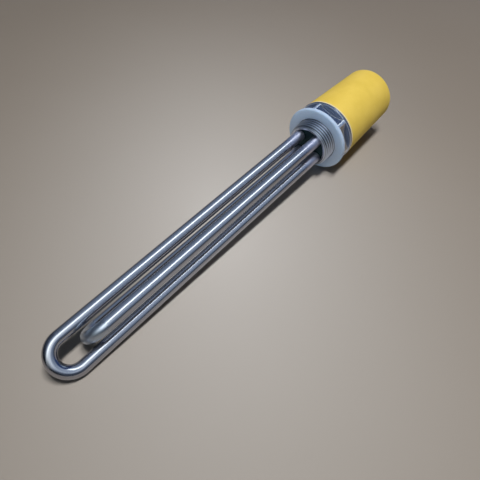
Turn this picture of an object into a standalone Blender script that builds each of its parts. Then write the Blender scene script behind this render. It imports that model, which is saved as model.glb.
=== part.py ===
# Screw plug immersion heater. A stainless plug carries a pipe thread and a hexagon, two crossed
# U elements pass through it, and a plastic cap covers their terminals. The heater's axis is X,
# with the elements towards +X and the cap towards -X. The origin is the centre of the hexagon's
# sealing face, and +Z is up as the heater lies on a table. Lengths are in metres.

import bmesh
import bpy
from math import cos, pi, radians, sin, tau
from mathutils import Matrix

GAP = 0.0003                     # clearance between pieces that meet

# Plug, turned from bar and milled
THREAD_DIAMETER = 0.03325        # one inch pipe thread, over its crests
NOSE_LENGTH = 0.0136             # sealing face to the end of the thread
NOSE_CHAMFER = 0.0013
NOSE_RIM_WIDTH = 0.0017          # flat rim between the chamfer and the recess
NOSE_RECESS_DEPTH = 0.0020
UNDERCUT_DEPTH = 0.001425        # relief groove behind the thread
UNDERCUT_LENGTH = 0.0018
UNDERCUT_RUNOUT = 0.0008
HEX_SHOULDER = 0.003875          # from the thread's crests to the flats, so 41 mm across them
HEX_LENGTH = 0.0080
HEX_CHAMFER_LENGTH = 0.0008
SEAT_OVERHANG = 0.0018           # the sealing face reaches this far past the flats, at the corners
HEX_ROLL = radians(48)
COLLAR_THICKNESS = 0.0020        # left round behind the flats
SPIGOT_LEDGE = 0.0025            # step from the collar down to the spigot
SPIGOT_LENGTH = 0.0080
SPIGOT_CHAMFER = 0.0005
WELL_CLEARANCE = 0.0020          # between the beads and the well's wall
WELL_DEPTH = 0.0060

# Gasket
GASKET_OVERHANG = 0.0009         # past the hexagon's corners
GASKET_THICKNESS = 0.0030
GASKET_EDGE_RADIUS = 0.0013

# Elements
SHEATH_DIAMETER = 0.0080
SHEATH_WALL = 0.0008
LEG_MARGIN = 0.002875            # from the thread's crests to the outside of the legs
LEAN_STATION = 0.0200            # clear of the plug and pins, the legs lean outwards from here
BEND_SPREAD = 0.00055            # and stand this much further out at the bend
LONG_REACH = 0.2400              # sealing face to the outside of the bend
REACH_STEP = 0.0215              # the shorter element bends this much nearer
BUNDLE_ROLL = radians(-39.7)
SHEATH_STAND = 0.0040            # what the sheaths show above the well's floor
SEAL_LENGTH = 0.0040
PIN_SHANK_DIAMETER = 0.0030
PIN_SHANK_DEPTH = 0.0300         # how far the pin runs inside the magnesia

# Terminals
STUD_DIAMETER = 0.0040
STUD_SPARE = 0.0073              # stud left free above the upper nut
STUD_CHAMFER = 0.0004
BEAD_FLANGE_DIAMETER = 0.0090
BEAD_FLANGE_THICKNESS = 0.0020
BEAD_BARREL_DIAMETER = 0.0072
BEAD_BARREL_LENGTH = 0.0040
NUT_ACROSS_FLATS = 0.0070
NUT_HEIGHT = 0.0032
NUT_FACE_MARGIN = 0.0002         # the nut's faces stop this far inside its flats
NUT_CHAMFER = 0.0005
LINK_WIDTH = 0.0090
LINK_THICKNESS = 0.0008
WASHER_DIAMETER = 0.0090
WASHER_THICKNESS = 0.0008
SPRING_WASHER_DIAMETER = 0.0076
SPRING_WASHER_THICKNESS = 0.0009
SPRING_WASHER_SPLIT = radians(16)

# Earth screw in the middle of the well
EARTH_SCREW_DIAMETER = 0.0030
EARTH_HOLE_DEPTH = 0.0080
EARTH_HEAD_DIAMETER = 0.0055
EARTH_HEAD_HEIGHT = 0.0020
EARTH_HEAD_ROUNDING = 0.0006
EARTH_SLOT_WIDTH = 0.0008
EARTH_SLOT_DEPTH = 0.0010
EARTH_WASHER_DIAMETER = 0.0060
EARTH_WASHER_THICKNESS = 0.0005

# Cap, pushed over the spigot
CAP_LENGTH = 0.0632
CAP_WALL = 0.0020
CAP_TAPER = 0.0022               # radius lost from the mouth to the closed end
CAP_CORNER_RADIUS = 0.0045
CAP_LIP_CHAMFER = 0.0004

# Smoothness of the turned pieces and tubes
BODY_STEPS = 48
SMALL_STEPS = 12
TUBE_BEVEL_RESOLUTION = 8        # 20 sides
CORE_BEVEL_RESOLUTION = 4        # 12 sides
BEND_STEPS = 18
CORNER_STEPS = 3
SHARP_EDGE_ANGLE = radians(35)

# Places along the axis that several pieces share
hex_rear = -HEX_LENGTH
collar_rear = hex_rear - COLLAR_THICKNESS
spigot_rear = collar_rear - SPIGOT_LENGTH
well_floor = spigot_rear + WELL_DEPTH
sheath_mouth = well_floor - SHEATH_STAND
core_end = sheath_mouth + SEAL_LENGTH + GAP
bead_front = sheath_mouth - GAP
bead_rear = bead_front - BEAD_FLANGE_THICKNESS - BEAD_BARREL_LENGTH
lower_nut_front = bead_rear - GAP
link_front = lower_nut_front - NUT_HEIGHT - GAP
washer_front = link_front - LINK_THICKNESS - GAP
spring_front = washer_front - WASHER_THICKNESS - GAP
upper_nut_front = spring_front - SPRING_WASHER_THICKNESS - GAP
stud_tip = upper_nut_front - NUT_HEIGHT - STUD_SPARE
cap_mouth = collar_rear - GAP
cap_end = cap_mouth - CAP_LENGTH

# Radii that several pieces share, each followed outwards from the thread
thread_radius = THREAD_DIAMETER / 2
leg_circle = thread_radius - LEG_MARGIN - SHEATH_DIAMETER / 2
bend_circle = leg_circle + BEND_SPREAD
hex_apothem = thread_radius + HEX_SHOULDER
bar_radius = hex_apothem / cos(pi / 6)
spigot_radius = bar_radius - SPIGOT_LEDGE
well_radius = leg_circle + BEAD_FLANGE_DIAMETER / 2 + WELL_CLEARANCE
core_radius = SHEATH_DIAMETER / 2 - SHEATH_WALL - GAP
leg_bore_radius = SHEATH_DIAMETER / 2 + GAP
stud_bore_radius = STUD_DIAMETER / 2 + GAP
cap_bore_radius = spigot_radius + GAP

# The long element's legs carry pins 1 and 3, and the short one's carry pins 2 and 4
pin_rolls = [BUNDLE_ROLL + quarter * pi / 2 for quarter in range(4)]
pin_spacing = leg_circle * 2 ** 0.5


for leftover in list(bpy.data.objects):
    bpy.data.objects.remove(leftover, do_unlink=True)

heater = bpy.data.collections.new("screw_plug_immersion_heater")
cutters = bpy.data.collections.new("cutters")
bpy.context.scene.collection.children.link(heater)
bpy.context.scene.collection.children.link(cutters)


def make_material(name, colour, roughness, metallic):
    material = bpy.data.materials.new(name)
    material.use_nodes = True
    shader = material.node_tree.nodes["Principled BSDF"]
    shader.inputs["Base Color"].default_value = (*colour, 1.0)
    shader.inputs["Roughness"].default_value = roughness
    shader.inputs["Metallic"].default_value = metallic
    return material


finishes = {
    "sheath": make_material("bright_stainless_tube", (0.55, 0.55, 0.56), 0.18, 1.0),
    "plug": make_material("machined_stainless", (0.50, 0.50, 0.52), 0.28, 1.0),
    "gasket": make_material("pale_silicone", (0.42, 0.48, 0.52), 0.50, 0.0),
    "cap": make_material("yellow_plastic", (0.68, 0.50, 0.10), 0.45, 0.0),
    "magnesia": make_material("packed_magnesia", (0.80, 0.79, 0.75), 0.90, 0.0),
    "ceramic": make_material("glazed_ceramic", (0.85, 0.83, 0.78), 0.30, 0.0),
    "seal": make_material("resin_seal", (0.30, 0.12, 0.06), 0.60, 0.0),
    "pin": make_material("plated_stud", (0.62, 0.60, 0.56), 0.30, 1.0),
    "fastener": make_material("zinc_plate", (0.60, 0.62, 0.64), 0.35, 1.0),
    "brass": make_material("brass_strap", (0.66, 0.47, 0.18), 0.30, 1.0),
}


def place_on_axis(station=0.0, radius=0.0, roll=0.0, turn=0.0):
    # Takes a piece made about Z to the heater's axis, then out to a leg's place
    across = (station, radius * cos(roll), radius * sin(roll))
    return Matrix.Translation(across) @ Matrix.Rotation(turn, 4, "X") @ Matrix.Rotation(pi / 2, 4, "Y")


def add_piece(name, data, finish, matrix=None):
    piece = bpy.data.objects.new(name, data)
    heater.objects.link(piece)
    piece.matrix_world = matrix or Matrix()
    if finish and not data.materials:
        data.materials.append(finishes[finish])
    return piece


def add_cutter(name, data, matrix):
    cutter = bpy.data.objects.new(name, data)
    cutters.objects.link(cutter)
    cutter.matrix_world = matrix
    cutter.hide_render = True
    cutter.display_type = "WIRE"
    return cutter


def cut(piece, cutter, operation="DIFFERENCE"):
    boolean = piece.modifiers.new(cutter.name, "BOOLEAN")
    boolean.operation = operation
    boolean.solver = "EXACT"
    boolean.object = cutter


def profile_mesh(name, points, closed):
    mesh = bpy.data.meshes.new(name)
    shape = bmesh.new()
    corners = [shape.verts.new((radius, 0.0, station)) for radius, station in points]
    for first, second in zip(corners, corners[1:]):
        shape.edges.new((first, second))
    if closed:
        shape.edges.new((corners[-1], corners[0]))
    shape.to_mesh(mesh)
    shape.free()
    return mesh


def turn_on_lathe(piece, steps):
    lathe = piece.modifiers.new("lathe", "SCREW")
    lathe.axis = "Z"
    lathe.steps = steps
    lathe.render_steps = steps
    lathe.use_merge_vertices = True
    lathe.merge_threshold = 0.00001
    lathe.use_smooth_shade = True


def add_turned(name, points, finish, steps, closed=False, matrix=None):
    # The points are (radius, place along the axis) and run from the front down the outer side
    piece = add_piece(name, profile_mesh(name, points, closed), finish, matrix or place_on_axis())
    turn_on_lathe(piece, steps)
    return piece


def arc(radius, station, size, start, end, steps=CORNER_STEPS):
    # Points of a rounded corner about (radius, station), with angles from outwards towards the front
    angles = [start + (end - start) * step / steps for step in range(steps + 1)]
    return [(radius + size * cos(angle), station + size * sin(angle)) for angle in angles]


def ring(inner, outer, front, rear):
    return [(inner, front), (outer, front), (outer, rear), (inner, rear)]


def cylinder_mesh(name, radius, length, sides):
    mesh = bpy.data.meshes.new(name)
    shape = bmesh.new()
    bmesh.ops.create_cone(shape, cap_ends=True, segments=sides, radius1=radius, radius2=radius, depth=length)
    shape.to_mesh(mesh)
    shape.free()
    return mesh


def box_mesh(name, size):
    mesh = bpy.data.meshes.new(name)
    shape = bmesh.new()
    bmesh.ops.create_cube(shape, size=1.0)
    bmesh.ops.scale(shape, vec=size, verts=shape.verts)
    shape.to_mesh(mesh)
    shape.free()
    return mesh


def outline_curve(name, loops, thickness):
    # A flat blank, whose first loop is its edge and whose other loops are holes
    curve = bpy.data.curves.new(name, "CURVE")
    curve.dimensions = "2D"
    curve.fill_mode = "BOTH"
    curve.extrude = thickness / 2
    for loop in loops:
        spline = curve.splines.new("POLY")
        spline.points.add(len(loop) - 1)
        for point, (x, y) in zip(spline.points, loop):
            point.co = (x, y, 0.0, 1.0)
        spline.use_cyclic_u = True
    return curve


def circle_points(radius, steps, y=0.0, start=0.0, end=tau):
    # Stops one step short of a whole turn, because the loop closes itself
    whole_turn = abs(end - start - tau) < 1e-9
    count = steps if whole_turn else steps + 1
    angles = [start + (end - start) * step / steps for step in range(count)]
    return [(radius * cos(angle), y + radius * sin(angle)) for angle in angles]


def u_path(reach, mouth):
    # Centre line of an element: up one leg, round the bend and back down the other
    bend_centre = reach - SHEATH_DIAMETER / 2 - bend_circle
    angles = [pi / 2 - pi * step / BEND_STEPS for step in range(BEND_STEPS + 1)]
    bend = [(bend_centre + bend_circle * cos(angle), bend_circle * sin(angle)) for angle in angles]
    leg = [(mouth, leg_circle), (LEAN_STATION, leg_circle)]
    return leg + bend + [(x, -y) for x, y in reversed(leg)]


def u_curve(name, reach, mouth, radius, bevel_resolution, caps):
    curve = bpy.data.curves.new(name, "CURVE")
    curve.dimensions = "3D"
    curve.bevel_depth = radius
    curve.bevel_resolution = bevel_resolution
    curve.use_fill_caps = caps
    path = u_path(reach, mouth)
    spline = curve.splines.new("POLY")
    spline.points.add(len(path) - 1)
    for point, (x, y) in zip(spline.points, path):
        point.co = (x, y, 0.0, 1.0)
    return curve


def to_mesh_piece(name, source, finish):
    # Replaces a curve, or a piece with modifiers, by one plain welded mesh in the same place
    bpy.context.view_layer.update()
    evaluated = source.evaluated_get(bpy.context.evaluated_depsgraph_get())
    mesh = bpy.data.meshes.new_from_object(evaluated)
    shape = bmesh.new()
    shape.from_mesh(mesh)
    bmesh.ops.remove_doubles(shape, verts=shape.verts, dist=0.000001)
    shape.to_mesh(mesh)
    shape.free()
    matrix = source.matrix_world.copy()
    bpy.data.objects.remove(source, do_unlink=True)
    mesh.name = name
    return add_piece(name, mesh, finish, matrix)


def make_plug():
    rim = thread_radius - NOSE_CHAMFER
    recess = rim - NOSE_RIM_WIDTH
    undercut = thread_radius - UNDERCUT_DEPTH
    points = [
        (0.0, NOSE_LENGTH - NOSE_RECESS_DEPTH),
        (recess, NOSE_LENGTH - NOSE_RECESS_DEPTH),
        (recess, NOSE_LENGTH),
        (rim, NOSE_LENGTH),
        (thread_radius, NOSE_LENGTH - NOSE_CHAMFER),
        (thread_radius, UNDERCUT_LENGTH + UNDERCUT_RUNOUT),
        (undercut, UNDERCUT_LENGTH),
        (undercut, 0.0),
        (hex_apothem + SEAT_OVERHANG, 0.0),
        (bar_radius, -HEX_CHAMFER_LENGTH),
        (bar_radius, collar_rear),
        (spigot_radius, collar_rear),
        (spigot_radius, spigot_rear + SPIGOT_CHAMFER),
        (spigot_radius - SPIGOT_CHAMFER, spigot_rear),
        (well_radius, spigot_rear),
        (well_radius, well_floor),
        (0.0, well_floor),
    ]
    plug = add_turned("plug_body", points, "plug", BODY_STEPS)

    # Six flats, milled up to the collar and leaving it round
    over = 0.002
    mill_length = HEX_LENGTH + over
    mill_depth = bar_radius - hex_apothem + over
    mill_mesh = box_mesh("flat_mill", (mill_length, mill_depth, 2 * bar_radius))
    for side in range(6):
        roll = HEX_ROLL + pi / 6 + side * pi / 3
        out = hex_apothem + mill_depth / 2
        middle = (hex_rear + mill_length / 2, out * cos(roll), out * sin(roll))
        matrix = Matrix.Translation(middle) @ Matrix.Rotation(roll, 4, "X")
        cut(plug, add_cutter(f"flat_mill_{side + 1}", mill_mesh, matrix))

    # A bore for each leg, right through the web
    bore_length = NOSE_LENGTH - spigot_rear + 2 * over
    bore_middle = (NOSE_LENGTH + spigot_rear) / 2
    drill_mesh = cylinder_mesh("leg_drill", leg_bore_radius, bore_length, 2 * SMALL_STEPS)
    for number, roll in enumerate(pin_rolls, start=1):
        matrix = place_on_axis(bore_middle, leg_circle, roll)
        cut(plug, add_cutter(f"leg_drill_{number}", drill_mesh, matrix))

    # Blind hole for the earth screw
    earth_length = EARTH_HOLE_DEPTH + over
    earth_middle = well_floor + EARTH_HOLE_DEPTH - earth_length / 2
    earth_radius = EARTH_SCREW_DIAMETER / 2 + GAP
    earth_mesh = cylinder_mesh("earth_drill", earth_radius, earth_length, SMALL_STEPS)
    cut(plug, add_cutter("earth_drill", earth_mesh, place_on_axis(earth_middle)))


def make_gasket():
    inner = thread_radius + GAP
    edge = GASKET_EDGE_RADIUS
    outer = bar_radius + GASKET_OVERHANG - edge
    front = GAP + GASKET_THICKNESS
    points = [(inner, front)]
    points += arc(outer, front - edge, edge, pi / 2, 0.0)
    points += arc(outer, GAP + edge, edge, 0.0, -pi / 2)
    points += [(inner, GAP)]
    add_turned("sealing_gasket", points, "gasket", BODY_STEPS, closed=True)


def make_element(name, reach, roll):
    turned_to = Matrix.Rotation(roll, 4, "X")
    sheath_curve = u_curve(f"{name}_sheath", reach, sheath_mouth, SHEATH_DIAMETER / 2,
                           TUBE_BEVEL_RESOLUTION, caps=False)
    sheath = add_piece(f"{name}_sheath", sheath_curve, "sheath", turned_to)
    wall = sheath.modifiers.new("tube_wall", "SOLIDIFY")
    wall.thickness = SHEATH_WALL
    wall.offset = -1.0
    wall.use_rim = True

    core_curve = u_curve(f"{name}_core", reach, core_end, core_radius, CORE_BEVEL_RESOLUTION, caps=True)
    core = to_mesh_piece(f"{name}_magnesia", add_piece(f"{name}_core", core_curve, "magnesia", turned_to),
                         "magnesia")
    over = 0.001
    length = PIN_SHANK_DEPTH + GAP + over
    middle = core_end - over + length / 2
    drill_mesh = cylinder_mesh("pin_drill", PIN_SHANK_DIAMETER / 2 + GAP, length, SMALL_STEPS)
    for leg_roll in (roll, roll + pi):
        matrix = place_on_axis(middle, leg_circle, leg_roll)
        cut(core, add_cutter(f"{name}_pin_drill", drill_mesh, matrix))


def make_nut_mesh():
    # A hexagon whose corners are turned away at both faces, with a plain bore
    corner = NUT_ACROSS_FLATS / 2 / cos(pi / 6)
    half = NUT_HEIGHT / 2
    face = NUT_ACROSS_FLATS / 2 - NUT_FACE_MARGIN
    blank = add_piece("nut_blank", cylinder_mesh("nut_blank", corner, 2 * NUT_HEIGHT, 6), "fastener")
    relief = corner + GAP
    turned_points = [
        (0.0, half),
        (face, half),
        (relief, half - NUT_CHAMFER),
        (relief, NUT_CHAMFER - half),
        (face, -half),
        (0.0, -half),
    ]
    lathe_form = add_cutter("nut_lathe_form", profile_mesh("nut_lathe_form", turned_points, False), Matrix())
    turn_on_lathe(lathe_form, SMALL_STEPS)
    cut(blank, lathe_form, "INTERSECT")
    drill_mesh = cylinder_mesh("nut_drill", stud_bore_radius, 3 * NUT_HEIGHT, SMALL_STEPS)
    cut(blank, add_cutter("nut_drill", drill_mesh, Matrix()))
    master = to_mesh_piece("nut", blank, "fastener")
    mesh = master.data
    bpy.data.objects.remove(master, do_unlink=True)
    return mesh


def make_terminals():
    shank = PIN_SHANK_DIAMETER / 2
    stud = STUD_DIAMETER / 2
    pin_points = [
        (0.0, core_end + PIN_SHANK_DEPTH),
        (shank, core_end + PIN_SHANK_DEPTH),
        (shank, bead_front),
        (stud, bead_front),
        (stud, stud_tip + STUD_CHAMFER),
        (stud - STUD_CHAMFER, stud_tip),
        (0.0, stud_tip),
    ]
    flange = BEAD_FLANGE_DIAMETER / 2
    barrel = BEAD_BARREL_DIAMETER / 2
    flange_rear = bead_front - BEAD_FLANGE_THICKNESS
    bead_points = [
        (stud_bore_radius, bead_front),
        (flange, bead_front),
        (flange, flange_rear),
        (barrel, flange_rear),
        (barrel, bead_rear),
        (stud_bore_radius, bead_rear),
    ]
    seal_points = ring(shank + GAP, core_radius, sheath_mouth + SEAL_LENGTH, sheath_mouth)
    washer_points = ring(stud_bore_radius, WASHER_DIAMETER / 2, washer_front, washer_front - WASHER_THICKNESS)
    half_split = SPRING_WASHER_SPLIT / 2
    split_ring = circle_points(SPRING_WASHER_DIAMETER / 2, SMALL_STEPS, start=half_split, end=tau - half_split)
    split_ring += reversed(circle_points(stud_bore_radius, SMALL_STEPS, start=half_split, end=tau - half_split))
    nut_mesh = make_nut_mesh()
    for number, roll in enumerate(pin_rolls, start=1):
        leg = place_on_axis(0.0, leg_circle, roll)
        add_turned(f"terminal_pin_{number}", pin_points, "pin", SMALL_STEPS, matrix=leg)
        add_turned(f"mouth_seal_{number}", seal_points, "seal", SMALL_STEPS, closed=True, matrix=leg)
        add_turned(f"ceramic_bead_{number}", bead_points, "ceramic", SMALL_STEPS, closed=True, matrix=leg)
        add_turned(f"flat_washer_{number}", washer_points, "fastener", SMALL_STEPS, closed=True, matrix=leg)
        for place, front in (("lower", lower_nut_front), ("upper", upper_nut_front)):
            matrix = place_on_axis(front - NUT_HEIGHT / 2, leg_circle, roll, turn=roll)
            add_piece(f"{place}_nut_{number}", nut_mesh, "fastener", matrix)
        spring = outline_curve(f"spring_washer_{number}", [split_ring], SPRING_WASHER_THICKNESS)
        matrix = place_on_axis(spring_front - SPRING_WASHER_THICKNESS / 2, leg_circle, roll, turn=roll)
        add_piece(f"spring_washer_{number}", spring, "fastener", matrix)


def make_links():
    # Each strap joins two neighbouring studs: 1 to 2, and 3 to 4
    half = pin_spacing / 2
    end = LINK_WIDTH / 2
    edge = circle_points(end, SMALL_STEPS, y=half, start=0.0, end=pi)
    edge += circle_points(end, SMALL_STEPS, y=-half, start=pi, end=tau)
    holes = [circle_points(stud_bore_radius, SMALL_STEPS, y=side * half) for side in (1, -1)]
    middle_radius = leg_circle * cos(pi / 4)
    for number, first_pin in ((1, 0), (2, 2)):
        roll = pin_rolls[first_pin] + pi / 4
        strap = outline_curve(f"link_{number}", [edge] + holes, LINK_THICKNESS)
        matrix = place_on_axis(link_front - LINK_THICKNESS / 2, middle_radius, roll, turn=roll + pi / 2)
        add_piece(f"link_{number}", strap, "brass", matrix)


def make_earth_terminal():
    shank = EARTH_SCREW_DIAMETER / 2
    head = EARTH_HEAD_DIAMETER / 2
    washer_face = well_floor - GAP
    head_front = washer_face - EARTH_WASHER_THICKNESS - GAP
    head_rear = head_front - EARTH_HEAD_HEIGHT
    shank_end = well_floor + EARTH_HOLE_DEPTH - GAP
    washer_points = ring(shank + GAP, EARTH_WASHER_DIAMETER / 2, washer_face,
                         washer_face - EARTH_WASHER_THICKNESS)
    add_turned("earth_washer", washer_points, "brass", SMALL_STEPS, closed=True)
    rounding = EARTH_HEAD_ROUNDING
    screw_points = [(0.0, shank_end), (shank, shank_end), (shank, head_front), (head, head_front)]
    screw_points += arc(head - rounding, head_rear + rounding, rounding, 0.0, -pi / 2)
    screw_points += [(0.0, head_rear)]
    screw = add_turned("earth_screw", screw_points, "brass", SMALL_STEPS)
    over = 0.001
    slot_mesh = box_mesh("slot_saw", (EARTH_SLOT_DEPTH + over, EARTH_SLOT_WIDTH, EARTH_HEAD_DIAMETER + over))
    middle = (head_rear + (EARTH_SLOT_DEPTH - over) / 2, 0.0, 0.0)
    matrix = Matrix.Translation(middle) @ Matrix.Rotation(BUNDLE_ROLL, 4, "X")
    cut(screw, add_cutter("slot_saw", slot_mesh, matrix))


def make_cap():
    # Straight bore along the spigot, then a drafted wall to the rounded closed end
    outer = cap_bore_radius + CAP_WALL
    end = outer - CAP_TAPER
    corner = CAP_CORNER_RADIUS
    inner_corner = corner - CAP_WALL
    floor = cap_end + CAP_WALL
    bore_end = spigot_rear - GAP
    points = [(0.0, floor)]
    points += arc(end - corner, floor + inner_corner, inner_corner, -pi / 2, 0.0)
    points += [
        (cap_bore_radius, bore_end),
        (cap_bore_radius, cap_mouth),
        (outer - CAP_LIP_CHAMFER, cap_mouth),
        (outer, cap_mouth - CAP_LIP_CHAMFER),
    ]
    points += arc(end - corner, cap_end + corner, corner, 0.0, -pi / 2, 2 * CORNER_STEPS)
    points += [(0.0, cap_end)]
    add_turned("terminal_cap", points, "cap", BODY_STEPS)


make_plug()
make_gasket()
make_element("long_element", LONG_REACH, BUNDLE_ROLL)
make_element("short_element", LONG_REACH - REACH_STEP, BUNDLE_ROLL + pi / 2)
make_terminals()
make_links()
make_earth_terminal()
make_cap()

for finished in heater.objects:
    if finished.type == "MESH" and finished.data.polygons:
        finished.data.shade_smooth()
        finished.data.set_sharp_from_angle(angle=SHARP_EDGE_ANGLE)
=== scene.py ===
import bmesh
import bpy
from math import cos, pi, radians, sin, tau
from mathutils import Matrix


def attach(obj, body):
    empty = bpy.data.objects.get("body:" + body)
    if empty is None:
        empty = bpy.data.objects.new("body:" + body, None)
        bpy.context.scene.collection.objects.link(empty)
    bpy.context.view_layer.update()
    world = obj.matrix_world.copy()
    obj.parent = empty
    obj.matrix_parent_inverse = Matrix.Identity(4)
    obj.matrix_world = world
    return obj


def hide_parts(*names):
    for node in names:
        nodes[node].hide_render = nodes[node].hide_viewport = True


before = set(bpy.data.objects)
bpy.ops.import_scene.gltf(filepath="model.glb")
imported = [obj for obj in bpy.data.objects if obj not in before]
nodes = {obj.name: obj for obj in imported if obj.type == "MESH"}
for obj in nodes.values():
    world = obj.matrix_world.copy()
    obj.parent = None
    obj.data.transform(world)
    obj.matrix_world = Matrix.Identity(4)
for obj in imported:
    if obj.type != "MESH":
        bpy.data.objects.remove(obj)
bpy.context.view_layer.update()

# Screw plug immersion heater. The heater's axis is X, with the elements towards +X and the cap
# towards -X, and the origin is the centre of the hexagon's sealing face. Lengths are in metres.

scene = bpy.context.scene


# The camera stands where the photograph was taken from

camera = {"place": (0.2381, 0.1327, 0.2194), "turn": (37.67, 0.89, 130.83), "lens": 33.33}

cameraData = bpy.data.cameras.new("photoCamera")
cameraData.lens = camera["lens"]
cameraData.sensor_width = 36.0
cameraData.clip_start = 0.01
photoCamera = bpy.data.objects.new("photoCamera", cameraData)
photoCamera.location = camera["place"]
photoCamera.rotation_euler = [radians(angle) for angle in camera["turn"]]
scene.collection.objects.link(photoCamera)
scene.camera = photoCamera
scene.view_settings.view_transform = "Standard"
print("camera placed")


# Node trees are written as sums on sockets. A wire is one output socket, or none at the start of
# a tree, and each sum adds a node and gives its output.

class Wire:
    def __init__(self, tree, socket=None):
        self.tree = tree
        self.socket = socket

    def add(self, kind, settings=None, inputs=None, output=0):
        node = self.tree.nodes.new(kind)
        for name, value in (settings or {}).items():
            if name == "stops":
                fillRamp(node.color_ramp, value)
            else:
                setattr(node, name, value)
        for name, value in (inputs or {}).items():
            if isinstance(value, Wire):
                self.tree.links.new(value.socket, node.inputs[name])
            else:
                node.inputs[name].default_value = value
        return Wire(self.tree, node.outputs[output])

    def sum(self, operation, *values):
        return self.add("ShaderNodeMath", {"operation": operation}, dict(enumerate(values)))

    def __add__(self, other):
        return self.sum("ADD", self, other)

    def __radd__(self, other):
        return self.sum("ADD", other, self)

    def __sub__(self, other):
        return self.sum("SUBTRACT", self, other)

    def __rsub__(self, other):
        return self.sum("SUBTRACT", other, self)

    def __mul__(self, other):
        return self.sum("MULTIPLY", self, other)

    def __truediv__(self, other):
        return self.sum("DIVIDE", self, other)

    def above(self, limit):
        return self.sum("GREATER_THAN", self, limit)

    def within(self, low, high):
        return self.sum("MINIMUM", self.sum("MAXIMUM", self, low), high)

    def ramp(self, start, end, low=0.0, high=1.0):
        # Runs smoothly from low at start to high at end, and stays there
        settings = {"interpolation_type": "SMOOTHSTEP"}
        return self.add("ShaderNodeMapRange", settings, {0: self, 1: start, 2: end, 3: low, 4: high})

    def axis(self, index):
        return self.add("ShaderNodeSeparateXYZ", None, {0: self}, index)


def fillRamp(ramp, stops):
    while len(ramp.elements) < len(stops):
        ramp.elements.new(1.0)
    for element, (place, colour) in zip(ramp.elements, stops):
        element.position = place
        element.color = (*colour, 1.0)


def mixColours(factor, first, second):
    first = (*first, 1.0) if isinstance(first, tuple) else first
    second = (*second, 1.0) if isinstance(second, tuple) else second
    return factor.add("ShaderNodeMix", {"data_type": "RGBA"}, {0: factor, 6: first, 7: second}, 2)


def mixAmounts(factor, first, second):
    return first + factor * (second - first)


# Geometry trees

def newTree(name, sizes):
    tree = bpy.data.node_groups.new(name, "GeometryNodeTree")
    kinds = {float: "NodeSocketFloat", int: "NodeSocketInt", "object": "NodeSocketObject"}
    for sizeName, kind in sizes.items():
        tree.interface.new_socket(sizeName, in_out="INPUT", socket_type=kinds[kind])
    tree.interface.new_socket("Finish", in_out="INPUT", socket_type="NodeSocketMaterial")
    tree.interface.new_socket("Geometry", in_out="OUTPUT", socket_type="NodeSocketGeometry")
    entry = tree.nodes.new("NodeGroupInput")
    wires = {sizeName: Wire(tree, entry.outputs[sizeName]) for sizeName in [*sizes, "Finish"]}
    return tree, Wire(tree), wires


def closeTree(tree, shape, finish):
    shape = shape.add("GeometryNodeRealizeInstances", None, {"Geometry": shape})
    shape = shape.add("GeometryNodeSetMaterial", None, {"Geometry": shape, "Material": finish})
    leave = tree.nodes.new("NodeGroupOutput")
    tree.links.new(shape.socket, leave.inputs["Geometry"])
    return tree


def growPiece(name, tree, values, finishing=None):
    # Runs a tree on an empty mesh and keeps the result as one plain mesh
    piece = bpy.data.objects.new(name, bpy.data.meshes.new(name))
    scene.collection.objects.link(piece)
    growing = piece.modifiers.new("growing", "NODES")
    growing.node_group = tree
    for socket in tree.interface.items_tree:
        if socket.in_out == "INPUT" and socket.name in values:
            growing[socket.identifier] = values[socket.name]
    if finishing:
        finishing(piece)
    return bakeModifiers(piece)


def bakeModifiers(piece):
    bpy.context.view_layer.update()
    graph = bpy.context.evaluated_depsgraph_get()
    mesh = bpy.data.meshes.new_from_object(piece.evaluated_get(graph), depsgraph=graph,
                                           preserve_all_data_layers=True)
    mesh.transform(piece.matrix_world)
    piece.modifiers.clear()
    piece.matrix_world = Matrix()
    piece.data = mesh
    mesh.name = piece.name
    return piece


def tidyMesh(mesh, weld=0.000001):
    shape = bmesh.new()
    shape.from_mesh(mesh)
    bmesh.ops.remove_doubles(shape, verts=shape.verts, dist=weld)
    bmesh.ops.dissolve_degenerate(shape, edges=shape.edges, dist=weld)
    loose = [edge for edge in shape.edges if not edge.link_faces]
    bmesh.ops.delete(shape, geom=loose, context="EDGES")
    bmesh.ops.recalc_face_normals(shape, faces=shape.faces)
    shape.to_mesh(mesh)
    shape.free()


def smooth(piece, sharpAbove):
    piece.data.shade_smooth()
    piece.data.set_sharp_from_angle(angle=radians(sharpAbove))


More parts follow.
